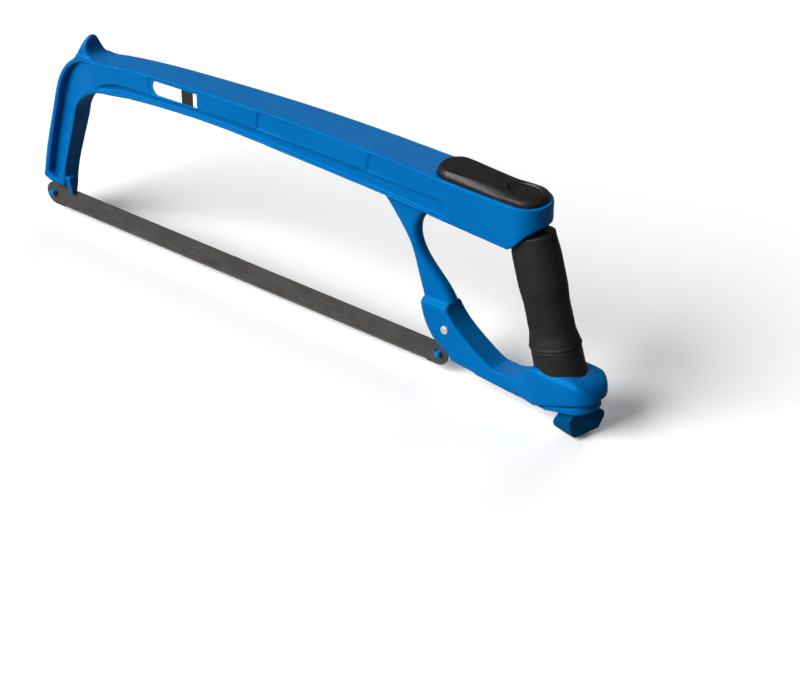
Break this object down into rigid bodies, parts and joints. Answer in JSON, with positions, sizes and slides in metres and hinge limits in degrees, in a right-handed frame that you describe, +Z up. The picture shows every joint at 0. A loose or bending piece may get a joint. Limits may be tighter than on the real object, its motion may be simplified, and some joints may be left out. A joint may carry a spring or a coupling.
{
  "type": "hacksaw",
  "caption": "High-tension hacksaw: cast bow frame with D handle, thumb pad, finger guard, grit-edged blade, and a lever, stud and wing knob that tension the blade.",
  "frame": {"origin": "centre of the front blade pin, in the plane of the blade", "axes": "+X runs back along the blade to the handle, +Y runs through the frame to its far side, +Z runs up from the blade to the beam"},
  "size_m": [0.4135, 0.027, 0.1354],
  "materials": {
    "powder_coat": "satin blue powder coat on cast aluminium",
    "grip_rubber": "matte black moulded rubber",
    "pad_rubber": "semi-matte black moulded rubber with a fine leather grain",
    "label_film": "glossy white film, blank",
    "coated_steel": "steel pin coated with the frame",
    "bright_steel": "bright turned steel",
    "black_steel": "black oxide",
    "bush_plastic": "black bearing plastic",
    "knob_blue": "dark blue moulded plastic",
    "blade_steel": "dark grey blued steel",
    "blade_grit": "brazed carbide grit"
  },
  "bodies": {
    "frame": {"frame_casting": "powder_coat", "grip_collar": "grip_rubber", "grip_sleeve": "grip_rubber", "top_pad": "pad_rubber", "near_label": "label_film", "far_label": "label_film", "front_blade_pin": "coated_steel", "pivot_pin": "bright_steel", "tension_stud": "black_steel", "stud_ring": "black_steel"},
    "lever": {"tension_lever": "powder_coat", "rear_blade_pin": "coated_steel", "near_pivot_bush": "bush_plastic", "far_pivot_bush": "bush_plastic"},
    "washer": {"thrust_washer": "black_steel"},
    "knob": {"wing_knob": "knob_blue", "knob_insert": "bright_steel", "knob_cap": "knob_blue"},
    "blade": {"saw_blade": "blade_steel", "blade_grit_edge": "blade_grit"}
  },
  "joints": [
    {"name": "washer_slide", "type": "slide", "parent": "frame", "child": "washer", "axis": [0.2079, 0, -0.9781], "range_m": [0, 0.0065]},
    {"name": "knob_spin", "type": "hinge", "parent": "washer", "child": "knob", "pos_m": [0.3916, 0, 0.0031], "axis": [0.2079, 0, -0.9781], "range_deg": [0, 2318]},
    {"name": "lever_swing", "type": "hinge", "parent": "frame", "child": "lever", "pos_m": [0.3084, 0, 0.0217], "axis": [0, 1, 0], "range_deg": [0, 4.2]},
    {"name": "blade_shift", "type": "slide", "parent": "frame", "child": "blade", "axis": [-1, 0, 0], "range_m": [0, 0.0008]}
  ],
  "couplings": [
    {"joint": "washer_slide", "follows": "knob_spin", "m_per_rad": 0.00015915},
    {"joint": "lever_swing", "follows": "knob_spin", "ratio": 0.0017684},
    {"joint": "blade_shift", "follows": "knob_spin", "m_per_rad": 0.0000189}
  ]
}
